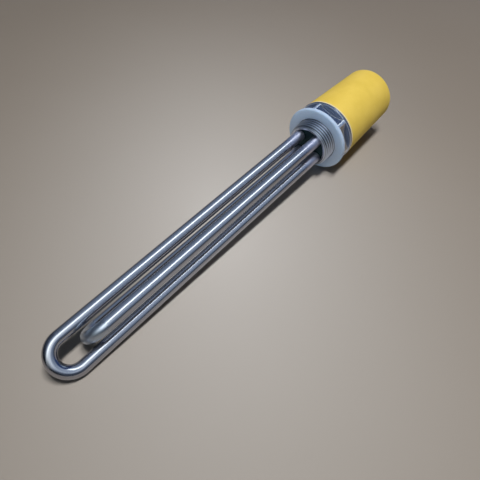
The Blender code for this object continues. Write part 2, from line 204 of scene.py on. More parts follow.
def bentTubeTree():
    # Up one leg, round the bend and back down the other, with the tube's own unrolled
    # coordinates kept for its material. The legs lean outwards a little once clear of the plug.
    sizes = {"Leg circle": float, "Bend circle": float, "Reach": float, "Mouth": float,
             "Lean": float, "Radius": float, "Roll": float, "Bend points": int, "Sides": int}
    tree, start, size = newTree("bentTube", sizes)
    count = size["Bend points"]
    bendCircle = size["Bend circle"]
    bendCentre = size["Reach"] - size["Radius"] - bendCircle
    straight = size["Lean"] - size["Mouth"]
    leaning = bendCentre - size["Lean"]
    line = start.add("GeometryNodeMeshLine", None, {"Count": count + 4})
    index = start.add("GeometryNodeInputIndex")
    share = ((index - 2) / (count - 1)).within(0.0, 1.0)
    angle = share * pi
    climbed = [index.above(0.5), index.above(1.5)]
    dropped = [index.above(count + 2.5), index.above(count + 1.5)]
    x = size["Mouth"] + straight * (climbed[0] - dropped[0]) + leaning * (climbed[1] - dropped[1])
    x = x + bendCircle * start.sum("SINE", angle)
    circle = mixAmounts(climbed[1] - dropped[1], size["Leg circle"], bendCircle)
    across = circle * start.sum("COSINE", angle)
    y = across * start.sum("COSINE", size["Roll"])
    z = across * start.sum("SINE", size["Roll"])
    place = start.add("ShaderNodeCombineXYZ", None, {0: x, 1: y, 2: z})
    line = start.add("GeometryNodeSetPosition", None, {"Geometry": line, "Position": place})
    path = start.add("GeometryNodeMeshToCurve", None, {"Mesh": line})
    length = straight * (climbed[0] + dropped[0]) + leaning * (climbed[1] + dropped[1])
    length = length + angle * bendCircle
    path = start.add("GeometryNodeStoreNamedAttribute", {"data_type": "FLOAT", "domain": "POINT"},
                     {"Geometry": path, "Name": "alongTube", "Value": length})
    ring = start.add("GeometryNodeCurvePrimitiveCircle", None,
                     {"Resolution": size["Sides"], "Radius": size["Radius"]})
    ringPlace = start.add("GeometryNodeInputPosition")
    vectors = {"data_type": "FLOAT_VECTOR", "domain": "POINT"}
    ring = start.add("GeometryNodeStoreNamedAttribute", vectors,
                     {"Geometry": ring, "Name": "roundTube", "Value": ringPlace})
    tube = start.add("GeometryNodeCurveToMesh", None, {"Curve": path, "Profile Curve": ring})
    along = start.add("GeometryNodeInputNamedAttribute", {"data_type": "FLOAT"},
                      {"Name": "alongTube"})
    around = start.add("GeometryNodeInputNamedAttribute", {"data_type": "FLOAT_VECTOR"},
                       {"Name": "roundTube"})
    unrolled = start.add("ShaderNodeCombineXYZ", None,
                         {0: along, 1: around.axis(0), 2: around.axis(1)})
    tube = start.add("GeometryNodeStoreNamedAttribute", vectors,
                     {"Geometry": tube, "Name": "unrolledTube", "Value": unrolled})
    for helper in ("alongTube", "roundTube"):
        tube = start.add("GeometryNodeRemoveAttribute", None, {"Geometry": tube, "Name": helper})
    return closeTree(tree, tube, size["Finish"])


def threadTree():
    # A sleeve about the X axis whose outside is a helical thread with rounded crests and roots.
    # Its rows run along the helix, and both ends are turned away below the root.
    sizes = {"Crest radius": float, "Root radius": float, "End radius": float,
             "Bore radius": float, "Pitch": float, "Rear": float, "Front": float,
             "Rear slope": float, "Front slope": float, "Sharpness": float, "Sides": int,
             "Rows a turn": int}
    tree, start, size = newTree("thread", sizes)
    rear = size["Rear"]
    front = size["Front"]
    pitch = size["Pitch"]
    rows = size["Rows a turn"]
    helixRows = start.sum("CEIL", (front - rear) / pitch + 2.0) * rows + 1
    allRows = helixRows + 3
    grid = start.add("GeometryNodeMeshGrid", None, {"Size X": 1.0, "Size Y": 1.0,
                     "Vertices X": size["Sides"] + 1, "Vertices Y": allRows})
    place = start.add("GeometryNodeInputPosition")
    turn = place.axis(0) + 0.5
    row = start.sum("ROUND", (place.axis(1) + 0.5) * (allRows - 1))
    onThread = row.above(0.5) * (1 - row.above(helixRows + 0.5))
    innerFront = row.above(helixRows + 0.5) * (1 - row.above(helixRows + 1.5))
    phase = (row - 1) / rows
    x = (rear - pitch + (phase + turn) * pitch).within(rear, front)
    wave = start.sum("ARCSINE", size["Sharpness"] * start.sum("COSINE", phase * tau))
    wave = wave / start.sum("ARCSINE", size["Sharpness"])
    middle = (size["Crest radius"] + size["Root radius"]) / 2
    half = (size["Crest radius"] - size["Root radius"]) / 2
    radius = middle + half * wave
    radius = start.sum("MINIMUM", radius, size["End radius"] + (front - x) * size["Front slope"])
    radius = start.sum("MINIMUM", radius, size["End radius"] + (x - rear) * size["Rear slope"])
    inner = rear + innerFront * (front - rear)
    x = mixAmounts(onThread, inner, x)
    radius = mixAmounts(onThread, size["Bore radius"], radius)
    angle = turn * tau
    spot = start.add("ShaderNodeCombineXYZ", None, {0: x, 1: radius * start.sum("COSINE", angle),
                                                    2: radius * start.sum("SINE", angle)})
    shape = start.add("GeometryNodeSetPosition", None, {"Geometry": grid, "Position": spot})
    shape = start.add("GeometryNodeMergeByDistance", None, {"Geometry": shape, "Distance": 0.000001})
    shape = start.add("GeometryNodeSetShadeSmooth", None, {"Geometry": shape})
    return closeTree(tree, shape, size["Finish"])


def legsTree():
    # Copies of the master spaced evenly round the axis, each turned to face outwards
    sizes = {"Master": "object", "Leg circle": float, "First roll": float, "Count": int,
             "Station": float}
    tree, start, size = newTree("onEachLeg", sizes)
    points = start.add("GeometryNodeMeshLine", None, {"Count": size["Count"]})
    roll = size["First roll"] + start.add("GeometryNodeInputIndex") * tau / size["Count"]
    place = start.add("ShaderNodeCombineXYZ", None, {
        0: size["Station"], 1: size["Leg circle"] * start.sum("COSINE", roll),
        2: size["Leg circle"] * start.sum("SINE", roll)})
    points = start.add("GeometryNodeSetPosition", None, {"Geometry": points, "Position": place})
    master = start.add("GeometryNodeObjectInfo", None, {"Object": size["Master"]}, "Geometry")
    turned = start.add("ShaderNodeCombineXYZ", None, {0: roll})
    copies = start.add("GeometryNodeInstanceOnPoints", None,
                       {"Points": points, "Instance": master, "Rotation": turned})
    return closeTree(tree, copies, size["Finish"])


bentTube = bentTubeTree()
thread = threadTree()
onEachLeg = legsTree()
print("geometry trees built")


# Finishes

def newFinish(name, colour, roughness, metallic, **constants):
    finish = bpy.data.materials.new(name)
    finish.use_nodes = True
    shader = finish.node_tree.nodes["Principled BSDF"]
    shader.inputs["Base Color"].default_value = (*colour, 1.0)
    shader.inputs["Roughness"].default_value = roughness
    shader.inputs["Metallic"].default_value = metallic
    for socketName, value in constants.items():
        shader.inputs[socketName.replace("_", " ")].default_value = value
    return finish, shader, Wire(finish.node_tree)


def objectPlace(start, scale=(1.0, 1.0, 1.0)):
    place = start.add("ShaderNodeTexCoord", None, None, "Object")
    return start.add("ShaderNodeMapping", {"vector_type": "POINT"}, {"Vector": place, "Scale": scale})


def noise(start, vector, scale, detail, roughness):
    return start.add("ShaderNodeTexNoise", None, {"Vector": vector, "Scale": scale, "Detail": detail,
                                                  "Roughness": roughness}, "Fac")


def bump(start, height, distance):
    return start.add("ShaderNodeBump", None, {"Height": height, "Distance": distance}, "Normal")


def link(shader, socketName, wire):
    wire.tree.links.new(wire.socket, shader.inputs[socketName])


def turnedPlace(start):
    # Station along the axis and distance from it, for marks left by a lathe
    place = start.add("ShaderNodeTexCoord", None, None, "Object")
    y = place.axis(1)
    z = place.axis(2)
    radius = start.sum("SQRT", y * y + z * z)
    turned = start.add("ShaderNodeCombineXYZ", None, {0: place.axis(0), 1: radius})
    return place.axis(0), radius, turned


tubeFinish = {"colour": (0.375, 0.380, 0.420), "line": (0.425, 0.425, 0.465), "roughness": 0.18,
              "lineStretch": (9.0, 3200.0, 3200.0), "lineMottle": 0.06, "patchScale": 90.0,
              "patchMottle": 0.08, "nearPlug": (0.037, 0.0155), "nearPlugPaintedSheen": (0.64, 0.63, 0.75),
              "nearPlugDulling": 0.24, "bendFrom": (0.200, 0.213), "bendTo": (0.226, 0.222),
              "bendSide": (0.0, 0.7694, -0.6388), "bendHalf": (0.0055, 0.0045),
              "bendPaintedSheen": (0.44, 0.49, 0.56), "bendDulling": 0.20}


def makeTubeFinish():
    # Drawn tube with fine lines along it, duller beside the plug and on the short bend, and painted
    # paler in both places as a painted sheen
    sizes = tubeFinish
    finish, shader, start = newFinish("brightDrawnTube", sizes["colour"], sizes["roughness"], 1.0)
    tube = start.add("ShaderNodeAttribute", {"attribute_name": "unrolledTube"}, None, "Vector")
    stretched = start.add("ShaderNodeMapping", {"vector_type": "POINT"},
                          {"Vector": tube, "Scale": sizes["lineStretch"]})
    lines = noise(start, stretched, 1.0, 2.0, 0.6)
    place = objectPlace(start)
    station = place.axis(0)
    patches = noise(start, place, sizes["patchScale"], 3.0, 0.6)
    nearPlug = station.ramp(*sizes["nearPlug"])
    aside = start.add("ShaderNodeVectorMath", {"operation": "DOT_PRODUCT"},
                      {0: place, 1: sizes["bendSide"]}, "Value")
    onShortBend = start.sum("ABSOLUTE", aside).ramp(*sizes["bendHalf"])
    onShortBend = onShortBend * station.ramp(*sizes["bendFrom"]) * station.ramp(*sizes["bendTo"])
    colour = mixColours(lines.ramp(0.35, 0.75), sizes["colour"], sizes["line"])
    # Painted sheen: beside the plug the colour turns a paler lavender, standing in for broad light on
    # the tube ends
    colour = mixColours(nearPlug * patches.ramp(0.3, 0.6, 0.6, 1.0), colour, sizes["nearPlugPaintedSheen"])
    # Painted sheen: the short bend's tip is painted a paler, bluer colour, standing in for soft light
    # on it
    link(shader, "Base Color", mixColours(onShortBend, colour, sizes["bendPaintedSheen"]))
    rough = sizes["roughness"] + (patches - 0.5) * sizes["patchMottle"]
    rough = rough + (lines - 0.5) * sizes["lineMottle"]
    rough = rough + nearPlug * sizes["nearPlugDulling"] + onShortBend * sizes["bendDulling"]
    link(shader, "Roughness", rough)
    return finish


plugFinish = {"colour": (0.46, 0.47, 0.50), "stain": (0.30, 0.30, 0.31), "stainShare": 0.5,
              "crestPaintedLight": (0.57, 0.64, 0.77), "groovePaintedShade": (0.08, 0.09, 0.11), "rim": (0.51, 0.56, 0.66),
              "recess": (0.03, 0.055, 0.06), "collarFacePaintedReflection": (0.30, 0.36, 0.52),
              "corner": (0.86, 0.88, 0.92), "lineScale": 5200.0, "patchScale": 130.0,
              "roughness": 0.24, "lineMottle": 0.10, "stainDulling": 0.06, "recessDulling": 0.30,
              "threadRoughness": 0.42, "flatRoughness": 0.13, "flatStainDulling": 0.04,
              "inCornerDulling": 0.35, "cornerRoughness": 0.36}

# Where the parts of the plug begin and end: stations along the axis, and radii out from it
plugZones = {"noseStation": (0.0002, 0.0006), "threadRadius": (0.01485, 0.01505),
             "grooveRadius": (0.01635, 0.01545), "rimStation": (0.0128, 0.0132),
             "rimRadius": (0.01345, 0.01370), "recessStation": (0.0108, 0.0114),
             "recessRadius": (0.01375, 0.01345), "collarStation": (-0.0079, -0.0080),
             "collarEnd": (-0.0085, -0.0082), "collarRadius": (0.0205, 0.0206),
             "hexagonStation": (-0.0082, -0.0080), "hexagonEnd": (0.0002, 0.0),
             "cornerRadius": (0.0227, 0.0231), "inCornerStation": (-0.0074, -0.0078)}


def makePlugFinish():
    sizes = plugFinish
    zones = plugZones
    finish, shader, start = newFinish("machinedStainless", sizes["colour"], sizes["roughness"], 1.0)
    station, radius, turned = turnedPlace(start)
    lines = noise(start, turned, sizes["lineScale"], 2.0, 0.5)
    grime = noise(start, objectPlace(start), sizes["patchScale"], 4.0, 0.6).ramp(0.42, 0.72)
    # Painted light: the thread is painted a light blue-grey, standing in for light catching its
    # crests
    onThread = station.ramp(*zones["noseStation"]) * radius.ramp(*zones["threadRadius"])
    # Painted shade: the thread's roots are painted near black, standing in for shade in the grooves
    inGroove = onThread * radius.ramp(*zones["grooveRadius"])
    # Painted highlight: a pale blue ring on the nose's front rim, where its edge catches light
    onRim = station.ramp(*zones["rimStation"]) * radius.ramp(*zones["rimRadius"])
    # Painted shade: the recess in the nose is painted near black
    recess = station.ramp(*zones["recessStation"]) * radius.ramp(*zones["recessRadius"])
    inFront = station.ramp(*zones["collarEnd"])
    # Painted reflection: the front of the collar is painted dark blue, standing in for the dark blue
    # it reflects
    collarFacePaintedReflection = station.ramp(*zones["collarStation"]) * inFront * radius.ramp(*zones["collarRadius"])
    inCorner = station.ramp(*zones["inCornerStation"]) * inFront
    onHexagon = station.ramp(*zones["hexagonStation"]) * station.ramp(*zones["hexagonEnd"])
    # Painted highlight: the hexagon's corners are painted pale, standing in for light caught on their
    # edges
    corner = onHexagon * radius.ramp(*zones["cornerRadius"])
    colour = mixColours(grime * sizes["stainShare"], sizes["colour"], sizes["stain"])
    for zone, name in ((onThread, "crestPaintedLight"), (inGroove, "groovePaintedShade"), (onRim, "rim"),
                       (recess, "recess"), (collarFacePaintedReflection, "collarFacePaintedReflection"), (corner, "corner")):
        colour = mixColours(zone, colour, sizes[name])
    link(shader, "Base Color", colour)
    rough = sizes["roughness"] + (lines - 0.5) * sizes["lineMottle"]
    rough = rough + grime * sizes["stainDulling"] + recess * sizes["recessDulling"]
    rough = mixAmounts(onThread, rough, sizes["threadRoughness"])
    rough = mixAmounts(onHexagon, rough, sizes["flatRoughness"] + grime * sizes["flatStainDulling"])
    rough = rough + inCorner * sizes["inCornerDulling"]
    link(shader, "Roughness", mixAmounts(corner, rough, sizes["cornerRoughness"]))
    return finish


gasketFinish = {"rim": (0.47, 0.58, 0.76), "face": (0.62, 0.73, 0.91), "inward": (0.0244, 0.0232),
                "cloudScale": 160.0, "cloudShare": 0.3, "roughness": 0.42, "mottle": 0.20,
                "grainScale": 2600.0, "grain": 0.00001, "bleed": 0.6, "bleedDepth": 0.006,
                "bleedColour": (0.7, 0.85, 1.0)}


def makeGasketFinish():
    sizes = gasketFinish
    finish, shader, start = newFinish("paleSilicone", sizes["face"], sizes["roughness"], 0.0,
                                      Subsurface_Weight=sizes["bleed"],
                                      Subsurface_Scale=sizes["bleedDepth"],
                                      Subsurface_Radius=sizes["bleedColour"])
    radius = turnedPlace(start)[1]
    clouds = noise(start, objectPlace(start), sizes["cloudScale"], 4.0, 0.6)
    fine = noise(start, objectPlace(start), sizes["grainScale"], 2.0, 0.5)
    # Painted shade and light: the outer rim is painted a darker blue and the face a lighter one,
    # evening out the lamp lighting the rim more than the face
    inward = radius.ramp(*sizes["inward"]) + (clouds - 0.5) * sizes["cloudShare"]
    link(shader, "Base Color", mixColours(inward, sizes["rim"], sizes["face"]))
    link(shader, "Roughness", sizes["roughness"] + (clouds - 0.5) * sizes["mottle"])
    link(shader, "Normal", bump(start, fine, sizes["grain"]))
    return finish


capFinish = {"colour": (0.80, 0.57, 0.105), "shade": (0.74, 0.52, 0.085), "scuff": (0.86, 0.70, 0.36),
             "scuffShare": 0.25, "lip": (0.88, 0.74, 0.44), "lipStation": (-0.0114, -0.0107),
             "roughness": 0.55, "mottle": 0.12, "scuffDulling": 0.10, "shine": 0.2,
             "cloudScale": 55.0, "scuffScale": 420.0, "scuffStretch": (1.0, 4.0, 4.0),
             "grainScale": 900.0, "grain": 0.00002}


def makeCapFinish():
    sizes = capFinish
    finish, shader, start = newFinish("yellowPlastic", sizes["colour"], sizes["roughness"], 0.0,
                                      Specular_IOR_Level=sizes["shine"])
    clouds = noise(start, objectPlace(start), sizes["cloudScale"], 3.0, 0.55)
    peel = noise(start, objectPlace(start), sizes["grainScale"], 2.0, 0.5)
    stretched = objectPlace(start, sizes["scuffStretch"])
    scuffs = noise(start, stretched, sizes["scuffScale"], 5.0, 0.7).ramp(0.60, 0.72)
    # Painted highlight: a pale cream ring along the cap's mouth, where its edge catches light
    lip = objectPlace(start).axis(0).ramp(*sizes["lipStation"])
    colour = mixColours(clouds.ramp(0.35, 0.70), sizes["colour"], sizes["shade"])
    colour = mixColours(scuffs * sizes["scuffShare"], colour, sizes["scuff"])
    link(shader, "Base Color", mixColours(lip, colour, sizes["lip"]))
    rough = sizes["roughness"] + (clouds - 0.5) * sizes["mottle"]
    link(shader, "Roughness", rough + scuffs * sizes["scuffDulling"])
    link(shader, "Normal", bump(start, peel, sizes["grain"]))
    return finish


def makeSpeckledFinish(name, colour, second, roughness, metallic, scale, height, coat):
    # Two colours that cloud into each other, with a fine grain
    finish, shader, start = newFinish(name, colour, roughness, metallic, Coat_Weight=coat)
    clouds = noise(start, objectPlace(start), scale, 4.0, 0.6)
    fine = noise(start, objectPlace(start), scale * 9.0, 2.0, 0.5)
    link(shader, "Base Color", mixColours(clouds.ramp(0.35, 0.70), colour, second))
    link(shader, "Roughness", roughness + (clouds - 0.5) * 0.18)
    link(shader, "Normal", bump(start, fine, height))
    return finish


finishes = {"bright_stainless_tube": makeTubeFinish(), "machined_stainless": makePlugFinish(),
            "pale_silicone": makeGasketFinish(), "yellow_plastic": makeCapFinish()}

# Two colours, roughness, metal, scale and height of the grain, and coat
speckles = {
    "packedMagnesia": ((0.78, 0.77, 0.72), (0.62, 0.60, 0.55), 0.90, 0.0, 600.0, 0.00004, 0.0),
    "glazedCeramic": ((0.80, 0.77, 0.70), (0.70, 0.66, 0.58), 0.30, 0.0, 420.0, 0.00001, 0.4),
    "resinSeal": ((0.30, 0.11, 0.05), (0.20, 0.06, 0.03), 0.45, 0.0, 500.0, 0.00003, 0.2),
    "platedStud": ((0.60, 0.57, 0.51), (0.48, 0.45, 0.40), 0.27, 1.0, 500.0, 0.000004, 0.0),
    "zincPlate": ((0.58, 0.60, 0.62), (0.46, 0.49, 0.52), 0.33, 1.0, 600.0, 0.000005, 0.0),
    "brassStrap": ((0.68, 0.48, 0.19), (0.52, 0.34, 0.12), 0.30, 1.0, 450.0, 0.000005, 0.0),
}
for name, values in speckles.items():
    slotName = "".join("_" + letter.lower() if letter.isupper() else letter for letter in name)
    finishes[slotName] = makeSpeckledFinish(name, *values)
print("finishes made")


def finishPiece(piece, body, slotName, *replaced):
    piece.data.materials.clear()
    piece.data.materials.append(finishes[slotName])
    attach(piece, body)
    if replaced:
        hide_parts(*replaced)
    return piece


# Shaping helpers

def solid(name, make):
    # A blank, a cutter or an outline from a bmesh recipe
    mesh = bpy.data.meshes.new(name)
    shape = bmesh.new()
    make(shape)
    shape.to_mesh(mesh)
    shape.free()
    piece = bpy.data.objects.new(name, mesh)
    scene.collection.objects.link(piece)
    return piece


def turnOnLathe(name, points, steps, closed=False):
    # The points are (radius, station), turned about the X axis
    def draw(shape):
        corners = [shape.verts.new((station, radius, 0.0)) for radius, station in points]
        for first, second in zip(corners, corners[1:]):
            shape.edges.new((first, second))
        if closed:
            shape.edges.new((corners[-1], corners[0]))

    piece = solid(name, draw)
    lathe = piece.modifiers.new("lathe", "SCREW")
    lathe.axis = "X"
    lathe.steps = steps
    lathe.render_steps = steps
    lathe.use_merge_vertices = True
    lathe.merge_threshold = 0.000005
    bakeModifiers(piece)
    tidyMesh(piece.data)
    return piece


def arc(radius, station, size, start, end, steps):
    angles = [radians(start + (end - start) * step / steps) for step in range(steps + 1)]
    return [(radius + size * cos(angle), station + size * sin(angle)) for angle in angles]


def rod(name, radius, front, rear, sides, y=0.0, z=0.0):
    place = Matrix.Translation(((front + rear) / 2, y, z)) @ Matrix.Rotation(pi / 2, 4, "Y")
    return solid(name, lambda shape: bmesh.ops.create_cone(
        shape, cap_ends=True, segments=sides, radius1=radius, radius2=radius, depth=front - rear,
        matrix=place))


def block(name, size, matrix):
    return solid(name, lambda shape: bmesh.ops.create_cube(
        shape, size=1.0, matrix=matrix @ Matrix.Diagonal((*size, 1.0))))


def cut(piece, cutters, operation="DIFFERENCE"):
    for cutter in cutters:
        boolean = piece.modifiers.new(cutter.name, "BOOLEAN")
        boolean.operation = operation
        boolean.solver = "EXACT"
        boolean.object = cutter
    bakeModifiers(piece)
    for cutter in cutters:
        bpy.data.objects.remove(cutter, do_unlink=True)
    tidyMesh(piece.data)
    return piece


def soften(piece, width, above):
    # Rounds the edges and keeps the flats between them flat in the light
    piece.data.shade_smooth()
    edge = piece.modifiers.new("softEdges", "BEVEL")
    edge.width = width
    edge.segments = 2
    edge.limit_method = "ANGLE"
    edge.angle_limit = radians(above)
    normals = piece.modifiers.new("flatNormals", "WEIGHTED_NORMAL")
    normals.mode = "FACE_AREA"
    normals.weight = 100
    normals.keep_sharp = True
    return bakeModifiers(piece)


def onLegs(name, master, station=0.0, count=4, firstRoll=None, circle=None):
    # One copy at each leg, or at the places given, in a single piece
    values = {"Master": master, "Leg circle": legs["circle"] if circle is None else circle,
              "First roll": legs["firstRoll"] if firstRoll is None else firstRoll, "Count": count,
              "Station": station}
    piece = growPiece(name, onEachLeg, values)
    bpy.data.objects.remove(master, do_unlink=True)
    return piece


# Places that the pieces share with the CAD: the ring of legs, and stations along the axis

legs = {"circle": 0.00975, "firstRoll": radians(-39.7), "radius": 0.0040}
stations = {"noseFront": 0.0136, "webFront": 0.0116, "hexRear": -0.0080, "collarRear": -0.0100,
            "spigotRear": -0.0180, "wellFloor": -0.0120, "mouth": -0.0160, "beadFront": -0.0163,
            "beadRear": -0.0223, "lowerNut": -0.0226, "link": -0.0261, "washer": -0.0272,
            "spring": -0.0283, "upperNut": -0.0295, "capMouth": -0.0103, "capEnd": -0.0735}


# Elements

elements = {"wall": 0.0008, "sides": 72, "bendPoints": 73, "longReach": 0.2400, "shortReach": 0.2185,
            "bendCircle": 0.0103, "lean": 0.0200}


def makeElement(name, reach, roll, node):
    def addWall(piece):
        wall = piece.modifiers.new("tubeWall", "SOLIDIFY")
        wall.thickness = elements["wall"]
        wall.offset = -1.0

    values = {"Leg circle": legs["circle"], "Bend circle": elements["bendCircle"], "Reach": reach,
              "Mouth": stations["mouth"], "Lean": elements["lean"], "Radius": legs["radius"],
              "Roll": roll, "Bend points": elements["bendPoints"], "Sides": elements["sides"]}
    piece = growPiece(name, bentTube, values, addWall)
    smooth(piece, 40.0)
    return finishPiece(piece, "heater", "bright_stainless_tube", node)


makeElement("longSheath", elements["longReach"], legs["firstRoll"], "long_element_sheath")
makeElement("shortSheath", elements["shortReach"], legs["firstRoll"] + pi / 2,
            "short_element_sheath")
print("elements bent")


# Plug: turned and milled body, and the pipe thread on its nose

plug = {"core": 0.01507, "recess": 0.013625, "apothem": 0.0205, "seat": 0.0223,
        "seatSlope": 0.0006, "corner": 0.02330, "bar": 0.02367, "spigot": 0.02117,
        "well": 0.01625, "hexRoll": radians(48), "edge": 0.0002, "chamfer": 0.0003,
        "fillet": 0.0005, "steps": 180, "mill": (0.010, 0.006, 0.060), "legGap": 0.0003,
        "legDrill": (0.020, -0.022), "earthBore": 0.0018, "earthDrill": (-0.0040, -0.0200),
        "softEdge": 0.00022, "softAbove": 25.0}


def makePlugBody():
    s = stations
    p = plug
    edge = p["edge"]
    chamfer = p["chamfer"]
    fillet = p["fillet"]
    points = [(0.0, s["webFront"])]
    points += arc(p["recess"] - fillet, s["webFront"] + fillet, fillet, -90, 0, 4)
    points += [
        (p["recess"], s["noseFront"] - edge), (p["recess"] + edge, s["noseFront"]),
        (p["core"] - edge, s["noseFront"]), (p["core"], s["noseFront"] - edge),
        (p["core"], edge), (p["core"] + edge, 0.0),
        (p["seat"], 0.0), (p["corner"], -p["seatSlope"]), (p["corner"], s["hexRear"]),
        (p["bar"] - chamfer, s["hexRear"]), (p["bar"], s["hexRear"] - chamfer),
        (p["bar"], s["collarRear"] + chamfer), (p["bar"] - chamfer, s["collarRear"]),
        (p["spigot"], s["collarRear"]), (p["spigot"], s["spigotRear"] + fillet),
        (p["spigot"] - fillet, s["spigotRear"]), (p["well"] + chamfer, s["spigotRear"]),
        (p["well"], s["spigotRear"] + chamfer),
    ]
    points += arc(p["well"] - fillet, s["wellFloor"] - fillet, fillet, 0, 90, 4)
    points += [(0.0, s["wellFloor"])]
    body = turnOnLathe("plugBody", points, p["steps"])
    mills = []
    length, depth, _ = p["mill"]
    out = p["apothem"] + depth / 2
    for side in range(6):
        roll = p["hexRoll"] + pi / 6 + side * pi / 3
        middle = (s["hexRear"] + length / 2, out * cos(roll), out * sin(roll))
        matrix = Matrix.Translation(middle) @ Matrix.Rotation(roll, 4, "X")
        mills.append(block(f"flatMill{side}", p["mill"], matrix))
    cut(body, mills)
    drills = []
    for number in range(4):
        roll = legs["firstRoll"] + number * pi / 2
        drills.append(rod(f"legDrill{number}", legs["radius"] + p["legGap"], *p["legDrill"], 48,
                          legs["circle"] * cos(roll), legs["circle"] * sin(roll)))
    drills.append(rod("earthDrill", p["earthBore"], *p["earthDrill"], 32))
    cut(body, drills)
    soften(body, p["softEdge"], p["softAbove"])
    return finishPiece(body, "heater", "machined_stainless", "plug_body")


pipeThread = {"Crest radius": 0.016625, "Root radius": 0.015145, "End radius": 0.01500,
              "Bore radius": 0.01490, "Pitch": 0.002309, "Rear": 0.0008, "Front": 0.0136,
              "Rear slope": 0.7, "Front slope": 1.15, "Sharpness": 0.96, "Sides": 144,
              "Rows a turn": 14}


def makePipeThread():
    piece = growPiece("pipeThread", thread, pipeThread)
    tidyMesh(piece.data)
    smooth(piece, 60.0)
    return finishPiece(piece, "heater", "machined_stainless")


makePlugBody()
makePipeThread()


braze = {"foot": 0.00055, "height": 0.0010, "inside": 0.0001, "below": 0.0003, "steps": 6,
         "hollow": 0.8}


def makeBraze():
    # A small run of braze where each leg leaves the plug
    inner = legs["radius"] - braze["inside"]
    foot = legs["radius"] + braze["foot"]
    floor = stations["webFront"]
    top = floor + braze["height"]
    points = [(inner, floor - braze["below"]), (foot, floor - braze["below"]), (foot, floor)]
    for step in range(1, braze["steps"]):
        angle = step / braze["steps"] * pi / 2
        points.append((foot - braze["foot"] * sin(angle) ** braze["hollow"],
                       top - braze["height"] * cos(angle) ** braze["hollow"]))
    points += [(legs["radius"], top), (inner, top)]
    ring = turnOnLathe("brazeMaster", points, 48, closed=True)
    piece = onLegs("brazeFillets", ring)
    smooth(piece, 50.0)
    return finishPiece(piece, "heater", "machined_stainless")


makeBraze()
print("plug machined")


# Gasket

gasket = {"inner": 0.016925, "outer": 0.02457, "front": 0.0033, "rear": 0.0003, "edge": 0.0013,
          "innerEdge": 0.0002, "steps": 180}


def makeGasket():
    g = gasket
    inner = g["inner"]
    innerEdge = g["innerEdge"]
    outer = g["outer"] - g["edge"]
    points = [(inner, g["rear"] + innerEdge), (inner, g["front"] - innerEdge)]
    points += [(inner + innerEdge, g["front"])]
    points += arc(outer, g["front"] - g["edge"], g["edge"], 90, 0, 8)
    points += arc(outer, g["rear"] + g["edge"], g["edge"], 0, -90, 8)
    points += [(inner + innerEdge, g["rear"])]
    piece = turnOnLathe("sealingGasket", points, g["steps"], closed=True)
    smooth(piece, 40.0)
    return finishPiece(piece, "heater", "pale_silicone", "sealing_gasket")


makeGasket()


# Terminals

terminals = {"boreRadius": 0.0023, "edge": 0.00015, "linkWidth": 0.0090, "linkThickness": 0.0008,
             "linkEdge": 0.00012}

studThread = {"Crest radius": 0.00199, "Root radius": 0.00157, "End radius": 0.00150,
              "Bore radius": 0.0, "Pitch": 0.0007, "Rear": -0.0400, "Front": -0.0165,
              "Rear slope": 1.0, "Front slope": 1.0, "Sharpness": 0.97, "Sides": 24, "Rows a turn": 6}


def numbered(node):
    return [f"{node}_{number}" for number in range(1, 5)]


def makeStuds():
    master = growPiece("studMaster", thread, studThread)
    tidyMesh(master.data)
    studs = onLegs("terminalStuds", master)
    smooth(studs, 60.0)
    return finishPiece(studs, "heater", "plated_stud", *numbered("terminal_pin"))


bead = {"flange": 0.0045, "flangeThickness": 0.0020, "barrel": 0.0036, "round": 0.0004,
        "fillet": 0.0003, "edge": 0.0002, "steps": 40}


def makeBeads():
    bore = terminals["boreRadius"]
    front = stations["beadFront"]
    rear = stations["beadRear"]
    flangeRear = front - bead["flangeThickness"]
    rounding = bead["round"]
    fillet = bead["fillet"]
    points = [(bore, rear + bead["edge"]), (bore, front)]
    points += [(bead["flange"] - fillet, front), (bead["flange"], front - fillet)]
    points += arc(bead["flange"] - rounding, flangeRear + rounding, rounding, 0, -90, 4)
    points += arc(bead["barrel"] + fillet, flangeRear - fillet, fillet, 90, 180, 3)
    points += arc(bead["barrel"] - rounding, rear + rounding, rounding, 0, -90, 4)
    points += [(bore + bead["edge"], rear)]
    piece = onLegs("ceramicBeads", turnOnLathe("beadMaster", points, bead["steps"], closed=True))
    smooth(piece, 40.0)
    return finishPiece(piece, "heater", "glazed_ceramic", *numbered("ceramic_bead"))


seal = {"radius": 0.0032, "length": 0.0040, "edge": 0.0001, "dish": 0.0024, "steps": 32}


def makeSeals():
    mouth = stations["mouth"]
    front = mouth + seal["length"]
    radius = seal["radius"]
    edge = seal["edge"]
    points = [(0.0, front), (radius, front), (radius, mouth + edge * 2)]
    points += [(radius - edge, mouth + edge), (seal["dish"], mouth), (0.0, mouth)]
    piece = onLegs("mouthSeals", turnOnLathe("sealMaster", points, seal["steps"]))
    smooth(piece, 40.0)
    return finishPiece(piece, "heater", "resin_seal", *numbered("mouth_seal"))


nut = {"flats": 0.0070, "height": 0.0032, "faceMargin": 0.0002, "turnedOut": 0.0008,
       "turnedDown": 0.0006, "bore": 0.0019, "steps": 48, "softEdge": 0.00008, "softAbove": 25.0}


def nutMaster(front):
    # Hexagonal blank with both faces turned to a chamfer
    rear = front - nut["height"]
    flats = nut["flats"] / 2
    face = flats - nut["faceMargin"]
    out = flats + nut["turnedOut"]
    blank = rod("nutMaster", flats / cos(pi / 6), front, rear, 6)
    points = [(0.0, front), (face, front), (out, front - nut["turnedDown"]),
              (out, rear + nut["turnedDown"]), (face, rear), (0.0, rear)]
    cut(blank, [turnOnLathe("nutTurning", points, nut["steps"])], "INTERSECT")
    cut(blank, [rod("nutDrill", nut["bore"], front + 0.001, rear - 0.001, 32)])
    return soften(blank, nut["softEdge"], nut["softAbove"])


